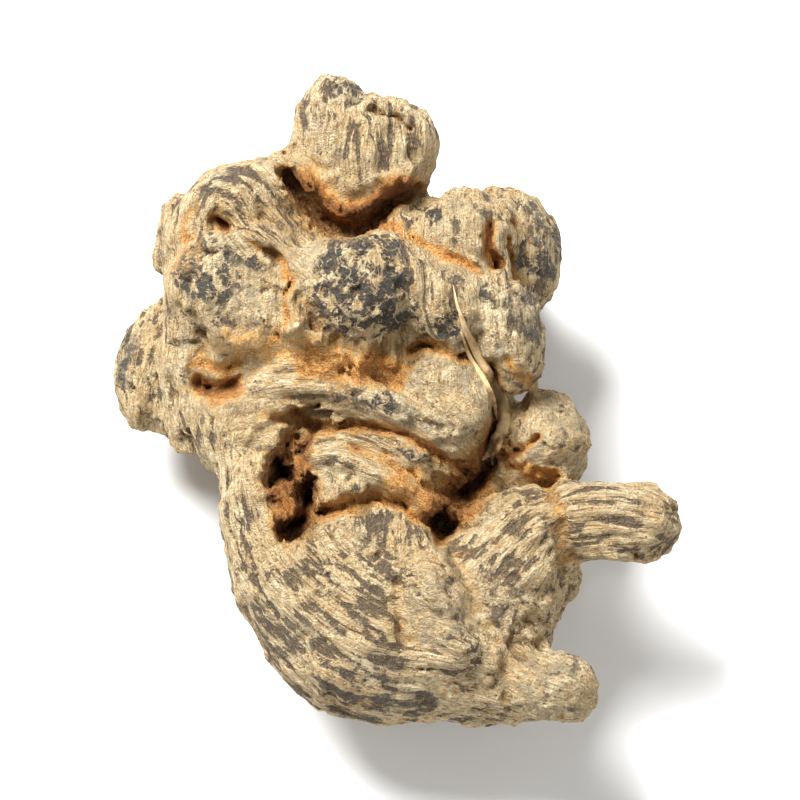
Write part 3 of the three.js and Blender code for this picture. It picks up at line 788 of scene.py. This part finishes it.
def corners_of(mesh, what="co"):
    corners = np.zeros(len(mesh.vertices) * 3, np.float32)
    mesh.vertices.foreach_get(what, corners)
    return corners.reshape(-1, 3).astype(float)


def packed_corners(node):
    corners = corners_of(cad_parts[node].data) / MM
    return corners[corners[:, 2] > 0.05]


ORIGIN = laid_over(packed_corners("root"))


def to_own(points):
    return (points - ORIGIN) @ LIE


def to_lying(points):
    return points @ LIE.T + ORIGIN


# ---------------------------------------------------------------------------------------------------
# The skin.


def field_grid(field, low, high, step):
    """The field on a grid, worked out only where the skin is near."""
    rough = 3
    cells = np.ceil((high - low) / (step * rough)).astype(int) + 1
    index = np.stack(np.meshgrid(*[np.arange(n) for n in cells], indexing="ij"), -1).reshape(-1, 3)
    centres = low + (index + 0.5) * step * rough
    coarse = plain_folded(to_own(centres))
    values = np.repeat(np.repeat(np.repeat(coarse.reshape(cells), rough, 0), rough, 1), rough, 2)
    band = np.flatnonzero(np.abs(coarse) < DRESS + 0.9 * step * rough)
    offsets = np.stack(np.meshgrid(*[np.arange(rough)] * 3, indexing="ij"), -1).reshape(-1, 3)
    for block in np.array_split(band, max(1, len(band) // 4000)):
        spots = (index[block][:, None, :] * rough + offsets[None]).reshape(-1, 3)
        found = field(to_own(low + spots * step))
        values[tuple(spots.T)] = found
    floor = low[2] + np.arange(values.shape[2]) * step
    return np.maximum(values, -floor[None, None, :])


def skin_mesh(values, low, step):
    """Corners and quads of the closed skin where the values are zero."""
    inside = values < 0
    shape = np.array(values.shape)
    strides = np.array([shape[1] * shape[2], shape[2], 1])
    count = np.zeros(values.size)
    totals = np.zeros((3, values.size))
    quads = []
    for axis in range(3):
        ahead = [slice(None)] * 3
        ahead[axis] = slice(1, None)
        behind = [slice(None)] * 3
        behind[axis] = slice(None, -1)
        crossed = np.argwhere(inside[tuple(ahead)] != inside[tuple(behind)])
        start = values[tuple(crossed.T)]
        beyond = crossed.copy()
        beyond[:, axis] += 1
        end = values[tuple(beyond.T)]
        spot = crossed.astype(float)
        spot[:, axis] += np.clip(start / (start - end), 0.02, 0.98)
        first, second = (axis + 1) % 3, (axis + 2) % 3
        cell = crossed @ strides
        across, down = strides[first], strides[second]
        around = [cell, cell - across, cell - across - down, cell - down]
        for corner in around:
            count += np.bincount(corner, minlength=values.size)
            for n in range(3):
                totals[n] += np.bincount(corner, weights=spot[:, n], minlength=values.size)
        quad = np.stack(around, 1)
        quads.append(np.where((start < 0)[:, None], quad, quad[:, ::-1]))
    used = np.flatnonzero(count)
    corners = (totals[:, used] / count[used]).T * step + low
    renumber = np.zeros(values.size, np.int64)
    renumber[used] = np.arange(len(used))
    return corners, renumber[np.vstack(quads)]


def mesh_from(name, corners, faces):
    mesh = bpy.data.meshes.new(name)
    mesh.from_pydata(corners.tolist(), [], faces.tolist())
    mesh.update()
    return mesh


def thinned(mesh, most):
    """A copy of the mesh with at most that many triangles."""
    scratch = bpy.data.objects.new("scratch", mesh)
    bpy.context.scene.collection.objects.link(scratch)
    triangles = sum(len(face.vertices) - 2 for face in mesh.polygons)
    if triangles > most:
        fewer = scratch.modifiers.new("fewer", "DECIMATE")
        fewer.ratio = most / triangles
        fewer.use_collapse_triangulate = True
    done = scratch.evaluated_get(bpy.context.evaluated_depsgraph_get())
    result = bpy.data.meshes.new_from_object(done)
    bpy.data.objects.remove(scratch)
    return result


def add_number(mesh, name, values):
    layer = mesh.attributes.new(name, "FLOAT", "POINT")
    layer.data.foreach_set("value", np.asarray(values, np.float32))


def add_place(mesh, name, values):
    layer = mesh.attributes.new(name, "FLOAT_VECTOR", "POINT")
    layer.data.foreach_set("vector", np.asarray(values, np.float32).ravel())


def hollowness(points, slopes):
    """How closed in each point is, from 0 in the open to 1 deep in a cleft."""
    closed = np.zeros(len(points))
    for reach, share in ((0.8, 0.3), (1.8, 0.4), (3.6, 0.3)):
        closed += share * np.clip(1 - plain_folded(points + reach * slopes) / reach, 0, 1)
    return closed


def plain_folded(points):
    rise, fill, *_ = folds(points)
    return folded(*whole_and_cut(points), rise, fill)


def write_marks(mesh):
    """What the bark's finish reads at each corner of the skin."""
    own = to_own(corners_of(mesh) / MM)
    slopes = corners_of(mesh, "normal") @ LIE
    moved = wandered(own)
    _, _, rust, dark, pale = folds(own, moved)
    black, speckled = caps(own, moved)
    crusted = np.maximum(black, speckled)
    broken = torn(own)
    places, shares = flow(own)
    _, fibre = wrinkles(own, moved, places, shares, crusted)
    ruling = shares.argmax(0)
    place = np.take_along_axis(np.stack(places), ruling[None, :, None], 0)[0]
    # hollow darkens the bark as painted shade in the hollows, and draws rust into them.
    add_number(mesh, "hollow", hollowness(own, slopes))
    add_number(mesh, "rust", np.clip(rust + 0.55 * broken, 0, 1.2))
    # dark: painted shade in the creases, pits and clefts, deepest inside the clefts, over the brown of
    # broken tissue.
    add_number(mesh, "dark", np.clip(dark + 0.55 * broken, 0, 1))
    add_number(mesh, "black", black)
    add_number(mesh, "speckled", speckled * (1 - black))
    add_number(mesh, "fibre", fibre + 2.2 * pale)
    add_number(mesh, "certain", faded((shares.max(0) - 0.5) / 0.4) * (1 - 0.85 * crusted))
    add_place(mesh, "place", place)
    add_place(mesh, "own", own)


def make_skin():
    low, high = (np.array(corner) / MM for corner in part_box("root"))
    low = low - (1.6, 1.6, 0.8)
    high = high + (1.6, 1.6, 1.6)
    values = field_grid(dressed_field, low, high, SKIN_STEP)
    corners, quads = skin_mesh(values, low, SKIN_STEP)
    mesh = thinned(mesh_from("root_skin", corners * MM, quads), SKIN_FACES)
    mesh.name = "root_skin"
    mesh.polygons.foreach_set("use_smooth", np.ones(len(mesh.polygons), bool))
    write_marks(mesh)
    skin = bpy.data.objects.new("root_skin", mesh)
    bpy.context.scene.collection.objects.link(skin)
    return skin


# ---------------------------------------------------------------------------------------------------
# Finishes.


class Nodes:
    """Short calls for building a node tree."""

    def __init__(self, tree):
        self.tree = tree

    def add(self, kind, **settings):
        node = self.tree.nodes.new(kind)
        for name, value in settings.items():
            setattr(node, name, value)
        return node

    def feed(self, socket, value):
        if isinstance(value, bpy.types.NodeSocket):
            self.tree.links.new(value, socket)
        elif value is not None:
            socket.default_value = value

    def attribute(self, name, output="Fac"):
        return self.add("ShaderNodeAttribute", attribute_name=name).outputs[output]

    def math(self, operation, a, b=None, c=None, clamp=False):
        node = self.add("ShaderNodeMath", operation=operation, use_clamp=clamp)
        for socket, value in zip(node.inputs, (a, b, c)):
            self.feed(socket, value)
        return node.outputs[0]

    def swayed(self, value, by, much):
        """The value moved up and down as a noise goes above and below its middle."""
        return self.math("MULTIPLY_ADD", self.math("SUBTRACT", by, 0.5), much, value)

    def between(self, value, low, high, to_low=0.0, to_high=1.0):
        node = self.add("ShaderNodeMapRange", interpolation_type="SMOOTHSTEP")
        for socket, given in zip(node.inputs, (value, low, high, to_low, to_high)):
            self.feed(socket, given)
        return node.outputs[0]

    def mix(self, share, a, b, blend="MIX"):
        node = self.add("ShaderNodeMix", data_type="RGBA", blend_type=blend)
        self.feed(node.inputs["Factor"], share)
        self.feed(node.inputs["A"], a)
        self.feed(node.inputs["B"], b)
        return node.outputs["Result"]

    def noise(self, vector, scale, detail=2.0, roughness=0.5, distortion=0.0):
        node = self.add("ShaderNodeTexNoise")
        self.feed(node.inputs["Vector"], vector)
        self.feed(node.inputs["Scale"], scale)
        self.feed(node.inputs["Detail"], detail)
        self.feed(node.inputs["Roughness"], roughness)
        self.feed(node.inputs["Distortion"], distortion)
        return node.outputs["Fac"]

    def dots(self, vector, scale):
        node = self.add("ShaderNodeTexVoronoi", feature="F1")
        self.feed(node.inputs["Vector"], vector)
        self.feed(node.inputs["Scale"], scale)
        return node.outputs["Distance"]

    def stretched(self, vector, factors):
        node = self.add("ShaderNodeVectorMath", operation="MULTIPLY")
        self.feed(node.inputs[0], vector)
        self.feed(node.inputs[1], factors)
        return node.outputs[0]

    def bump(self, height, distance, strength=1.0, normal=None):
        node = self.add("ShaderNodeBump")
        self.feed(node.inputs["Height"], height)
        self.feed(node.inputs["Distance"], distance)
        self.feed(node.inputs["Strength"], strength)
        if normal is not None:
            self.feed(node.inputs["Normal"], normal)
        return node.outputs["Normal"]


def rgb(hexadecimal):
    """A linear colour from a screen colour."""
    channels = [((hexadecimal >> shift) & 255) / 255 for shift in (16, 8, 0)]
    return tuple(c / 12.92 if c <= 0.04045 else ((c + 0.055) / 1.055) ** 2.4 for c in channels) + (1.0,)


def new_finish(name):
    material = bpy.data.materials.new(name)
    material.use_nodes = True
    shader = material.node_tree.nodes["Principled BSDF"]
    return material, Nodes(material.node_tree), shader


def bark_finish():
    material, n, shader = new_finish("bark")
    own = n.attribute("own", "Vector")
    place = n.attribute("place", "Vector")
    certain = n.attribute("certain")
    hollow = n.attribute("hollow")
    rust = n.attribute("rust")
    dark = n.attribute("dark")
    black = n.attribute("black")
    fibre = n.attribute("fibre")
    speckled = n.attribute("speckled")

    drift = n.noise(own, 0.16, 3.0, 0.55)
    patches = n.noise(own, 0.42, 4.0, 0.6)
    mottle = n.noise(own, 1.6, 5.0, 0.65)
    grain = n.noise(own, 5.5, 4.0, 0.65)
    threads = n.noise(n.stretched(place, (0.14, 1.4, 1.4)), 1.0, 3.0, 0.6, 0.35)
    hairs = n.noise(n.stretched(place, (0.32, 4.0, 4.0)), 1.0, 3.0, 0.6, 0.5)
    scurf = n.noise(own, 1.9, 4.0, 0.7, 1.2)
    veins = n.noise(own, 0.42, 3.0, 0.6, 0.3)
    blots = n.noise(own, 0.62, 5.0, 0.66, 0.2)

    # How high a point is on the pale fibres, against the darker skin between them.
    line = n.swayed(fibre, threads, n.math("MULTIPLY", certain, 6.0))
    line = n.swayed(line, scurf, 0.5)
    line = n.swayed(line, grain, 0.7)
    level = n.math("MULTIPLY_ADD", black, 0.88, n.between(patches, 0.36, 0.66, -0.7, 0.0))
    ground = n.between(n.math("SUBTRACT", level, line), -0.15, 0.35)
    cleave = n.between(line, -0.9, 0.15, 1.0, 0.0)

    # Old cork is nearly black, broken by a pale network.
    network = n.between(n.math("ABSOLUTE", n.math("SUBTRACT", veins, 0.5)), 0.006, 0.026, 1.0, 0.0)
    network = n.math("MAXIMUM", network, n.between(n.math("SUBTRACT", line, grain), 0.15, 0.6))
    cork = n.between(blots, 0.43, 0.50)
    cork = n.math("MULTIPLY", cork, n.math("MULTIPLY_ADD", network, -0.75, 1.0))
    corky = n.between(black, 0.62, 0.8)
    ground = n.math("MULTIPLY_ADD", corky, n.math("SUBTRACT", cork, ground), ground)

    cream = n.mix(n.between(drift, 0.35, 0.65), rgb(0xE6D4AC), rgb(0xDABF90))
    cream = n.mix(n.between(mottle, 0.42, 0.72), cream, rgb(0xC8A673))
    cream = n.mix(n.math("MULTIPLY", cleave, 0.7), cream, rgb(0x8E7049))
    cream = n.mix(n.math("MULTIPLY", n.between(hairs, 0.4, 0.56, 1.0, 0.0), 0.7), cream, rgb(0x9A7A4E))
    cream = n.mix(n.math("MULTIPLY", n.between(grain, 0.5, 0.72), 0.6), cream, rgb(0xF6EACB))
    flecks = n.between(n.noise(own, 1.2, 4.0, 0.65, 0.4), 0.58, 0.68)
    cream = n.mix(n.math("MULTIPLY", flecks, 0.5), cream, rgb(0xC58B4C))
    old = n.mix(n.between(black, 0.4, 0.85), rgb(0x54473A), rgb(0x1F2024))
    worn = n.mix(n.between(black, 0.4, 0.85), rgb(0x84725A), rgb(0x55534F))
    old = n.mix(n.between(grain, 0.35, 0.7), old, worn)
    colour = n.mix(n.math("MULTIPLY", ground, 0.94), cream, old)

    # Small dark dots.
    dots = n.between(n.dots(own, 1.7), 0.14, 0.24, 1.0, 0.0)
    here = n.math("MAXIMUM", n.between(n.noise(own, 0.33, 2.0), 0.45, 0.58), speckled)
    colour = n.mix(n.math("MULTIPLY", n.math("MULTIPLY", dots, here), 0.7), colour, rgb(0x57524A))
    greyed = n.math("MULTIPLY", speckled, n.between(blots, 0.47, 0.55))
    colour = n.mix(n.math("MULTIPLY", greyed, 0.55), colour, rgb(0x968C76))

    # Rust in the folds, and painted shade, dark brown, in the creases, clefts and hollows, partly the brown
    # of broken tissue where the skin is broken.
    creep = n.swayed(n.math("MULTIPLY_ADD", hollow, 0.5, rust), mottle, 1.6)
    creep = n.swayed(creep, scurf, 0.9)
    colour = n.mix(n.between(creep, 0.1, 0.7, 0.0, 0.6), colour, rgb(0xD2A86A))
    rusty = n.between(creep, 0.45, 1.0)
    rusty = n.math("MULTIPLY", rusty, n.math("MULTIPLY_ADD", black, -0.5, 1.0))
    orange = n.mix(n.between(scurf, 0.35, 0.65), rgb(0xC87026), rgb(0xECB864))
    orange = n.mix(n.between(grain, 0.48, 0.68), orange, rgb(0x914614))
    orange = n.mix(n.between(grain, 0.32, 0.44, 1.0, 0.0), orange, rgb(0xEFCB8C))
    # The rust darkens where the dark marks lie: painted shade in the creases and clefts.
    orange = n.mix(n.between(dark, 0.15, 0.6, 0.0, 0.6), orange, rgb(0x86450F))
    colour = n.mix(n.math("MULTIPLY", rusty, 0.85), colour, orange)
    # Painted shade: dark brown where the dark marks lie and, more weakly, in the hollows.
    shade = n.math("ADD", dark, n.math("MULTIPLY", hollow, 0.22))
    shade = n.swayed(shade, scurf, 0.7)
    deep = n.between(shade, 0.55, 1.1)
    colour = n.mix(deep, colour, n.mix(n.between(mottle, 0.35, 0.65), rgb(0x2A150A), rgb(0x6B3A1A)))

    n.feed(shader.inputs["Base Color"], colour)
    n.feed(shader.inputs["Roughness"], n.between(ground, 0.0, 1.0, 0.92, 0.72))
    shader.inputs["Specular IOR Level"].default_value = 0.25

    fine = n.math("MULTIPLY_ADD", hairs, certain, n.math("MULTIPLY", grain, 0.8))
    fine = n.math("MULTIPLY_ADD", threads, n.math("MULTIPLY", certain, 1.8), fine)
    fine = n.math("MULTIPLY_ADD", scurf, 1.2, fine)
    fine = n.math("MULTIPLY_ADD", ground, -0.3, fine)
    n.feed(shader.inputs["Normal"], n.bump(fine, 0.0006, 1.0))
    return material


def rootlet_finish():
    material, n, shader = new_finish("rootlet")
    own = n.add("ShaderNodeTexCoord").outputs["Object"]
    streak = n.noise(own, 900.0, 3.0, 0.6)
    n.feed(shader.inputs["Base Color"], n.mix(n.between(streak, 0.35, 0.7), rgb(0xCDB284), rgb(0x97774C)))
    shader.inputs["Roughness"].default_value = 0.85
    n.feed(shader.inputs["Normal"], n.bump(streak, 0.0001, 0.7))
    return material


# ---------------------------------------------------------------------------------------------------
# The thin rootlet that lies over the right knob: strands, each a path on the face and half its width there.

STRANDS = {
    "main": dict(
        path=[(4.8, 10.4), (5.2, 8.6), (5.9, 6.4), (7.1, 4.2), (8.0, 2.4), (9.0, 0.9), (9.5, -0.6),
              (9.6, -2.2), (9.0, -3.6), (8.2, -4.7), (7.5, -5.5)],
        thick=[0.03, 0.14, 0.26, 0.42, 0.46, 0.56, 0.6, 0.66, 0.58, 0.42, 0.1],
    ),
    "split": dict(
        path=[(5.5, 6.2), (6.4, 3.9), (7.7, 1.7), (8.6, -0.2), (8.9, -1.8)],
        thick=[0.06, 0.2, 0.24, 0.22, 0.08],
    ),
    "frayed_end": dict(
        path=[(9.5, -2.6), (9.1, -4.0), (8.5, -5.1), (8.5, -6.0)],
        thick=[0.1, 0.28, 0.24, 0.06],
    ),
}

STRAND_PIECES = 5  # the steps between two points of a strand's path
STRAND_SIDES = 12


def on_face(spots, lift):
    """The points of the dressed skin under flat spots of the face, in the root's own axes."""
    heights = np.arange(16.0, -4.0, -0.1)
    found = []
    for x, y in spots:
        ray = np.column_stack([np.full(len(heights), x), np.full(len(heights), y), heights])
        inside = np.flatnonzero(dressed_field(ray) < 0)
        found.append((x, y, heights[inside[0]] + lift))
    return np.array(found)


def strand_rings(path, thick):
    """Rings of points about a strand that lies on the skin."""
    line = on_face(smooth_path(path, STRAND_PIECES), lift=0.1)
    widths = np.interp(np.arange(len(line)) / STRAND_PIECES, np.arange(len(thick)), thick)
    for _ in range(4):
        line[1:-1, 2] = np.maximum(line[1:-1, 2], (line[:-2, 2] + line[2:, 2]) / 2)
    rings = []
    for n, point in enumerate(line):
        heading = line[min(n + 1, len(line) - 1)] - line[max(n - 1, 0)]
        heading /= np.linalg.norm(heading)
        side = np.cross(heading, (0, 0, 1))
        side /= np.linalg.norm(side)
        up = np.cross(side, heading)
        for m in range(STRAND_SIDES):
            angle = 2 * math.pi * m / STRAND_SIDES
            ripple = 1 + 0.2 * math.sin(3 * angle + 0.5 * n) + 0.1 * math.sin(5 * angle - 0.9 * n)
            rings.append(point + widths[n] * ripple * (side * math.cos(angle) + up * math.sin(angle) * 0.55))
    return rings


def make_rootlet(finish):
    around = STRAND_SIDES
    corners = []
    faces = []
    for strand in STRANDS.values():
        first = len(corners)
        rings = strand_rings(strand["path"], strand["thick"])
        corners += rings
        for n in range(len(rings) // around - 1):
            ring = first + n * around
            for m in range(around):
                after = (m + 1) % around
                faces.append((ring + m, ring + after, ring + around + after, ring + around + m))
        faces.append(tuple(range(first, first + around))[::-1])
        faces.append(tuple(range(len(corners) - around, len(corners))))
    mesh = bpy.data.meshes.new("rootlet")
    mesh.from_pydata((to_lying(np.array(corners)) * MM).tolist(), [], faces)
    mesh.update()
    mesh.polygons.foreach_set("use_smooth", np.ones(len(mesh.polygons), bool))
    mesh.materials.append(finish)
    rootlet = bpy.data.objects.new("rootlet", mesh)
    bpy.context.scene.collection.objects.link(rootlet)
    return rootlet


# ---------------------------------------------------------------------------------------------------
# Floor, light and camera.


def make_stage():
    bpy.ops.mesh.primitive_plane_add(size=6, location=(0, 0, 0))
    floor = bpy.context.object
    floor.name = "floor"
    material, _, shader = new_finish("floor")
    shader.inputs["Base Color"].default_value = (0.86, 0.86, 0.85, 1)
    shader.inputs["Roughness"].default_value = 0.9
    floor.data.materials.append(material)


def make_light(name, place, size, power, target):
    lamp = bpy.data.lights.new(name, "AREA")
    lamp.shape = "DISK"
    lamp.size = size
    lamp.energy = power
    light = bpy.data.objects.new(name, lamp)
    light.location = place
    light.rotation_euler = (Vector(target) - Vector(place)).to_track_quat("-Z", "Y").to_euler()
    bpy.context.scene.collection.objects.link(light)


def make_lights(target):
    make_light("key", (-0.20, 0.22, 0.42), size=0.26, power=7.4, target=target)
    make_light("fill", (0.34, -0.30, 0.34), size=0.5, power=1.0, target=target)
    world = bpy.data.worlds.new("studio")
    world.use_nodes = True
    sky = world.node_tree.nodes["Background"]
    sky.inputs["Color"].default_value = (1, 1, 1, 1)
    sky.inputs["Strength"].default_value = 0.42
    bpy.context.scene.world = world
    bpy.context.scene.view_settings.view_transform = "Standard"


VIEW_WIDTH = 0.0735  # how much of the object's plane the camera takes in
VIEW_DISTANCE = 0.5  # from the camera to the root's own origin


def make_camera(target):
    camera = bpy.data.cameras.new("camera")
    camera.lens = camera.sensor_width * VIEW_DISTANCE / VIEW_WIDTH
    camera.clip_start = 0.01
    camera.clip_end = 20
    back = Vector((0, -math.sin(TIP), math.cos(TIP)))
    seer = bpy.data.objects.new("camera", camera)
    seer.location = Vector(target) + back * VIEW_DISTANCE
    seer.rotation_euler = (-back).to_track_quat("-Z", "Y").to_euler()
    bpy.context.scene.collection.objects.link(seer)
    bpy.context.scene.camera = seer


# ---------------------------------------------------------------------------------------------------
# The scene.

face_centre = tuple(ORIGIN * MM)
make_camera(face_centre)
make_stage()
make_lights(face_centre)

skin = make_skin()
skin.data.materials.append(bark_finish())
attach(skin, "root")
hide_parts("root")

rootlet = make_rootlet(rootlet_finish())
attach(rootlet, "root")
